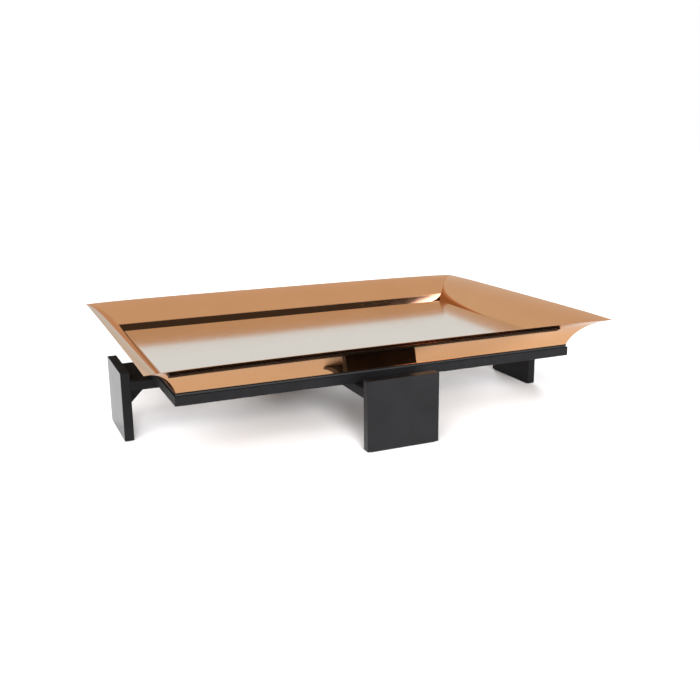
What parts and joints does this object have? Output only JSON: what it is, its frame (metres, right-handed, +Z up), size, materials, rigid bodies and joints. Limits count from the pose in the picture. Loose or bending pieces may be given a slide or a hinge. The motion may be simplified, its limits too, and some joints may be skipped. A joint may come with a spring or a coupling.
{
  "type": "footed tray",
  "caption": "Rectangular serving tray with rolled flaring rose-brass sides and a polished floor, resting on a black stand whose upright feet stand clear of it.",
  "frame": {"origin": "on the ground, under the centre of the tray", "axes": "+X along the tray's length, +Y across its width to the back, +Z up"},
  "size_m": [0.65, 0.452, 0.1385],
  "materials": {
    "rose_brass": "mirror polished",
    "polished_plate": "mirror polished",
    "black_lacquer": "satin black lacquer",
    "beech": "bare wood",
    "screw_steel": "zinc plated",
    "felt": "pressed felt"
  },
  "bodies": {
    "stand": {"rail_front": "black_lacquer", "rail_back": "black_lacquer", "rail_left": "black_lacquer", "rail_right": "black_lacquer", "rest_strips": "felt", "bearer_long": "black_lacquer", "bearer_cross": "black_lacquer", "foot_front": "black_lacquer", "foot_back": "black_lacquer", "foot_left": "black_lacquer", "foot_right": "black_lacquer", "gusset_front": "black_lacquer", "gusset_back": "black_lacquer", "gusset_left": "black_lacquer", "gusset_right": "black_lacquer", "foot_dowels": "beech", "frame_screws": "screw_steel", "felt_glides": "felt"},
    "tray": {"flare_front": "rose_brass", "flare_back": "rose_brass", "flare_left": "rose_brass", "flare_right": "rose_brass", "tray_base": "rose_brass", "mirror_floor": "polished_plate", "locating_cleats": "rose_brass"}
  },
  "joints": [
    {"name": "tray_lift", "type": "slide", "parent": "stand", "child": "tray", "axis": [0, 0, 1], "range_m": [0, 0.06]}
  ]
}
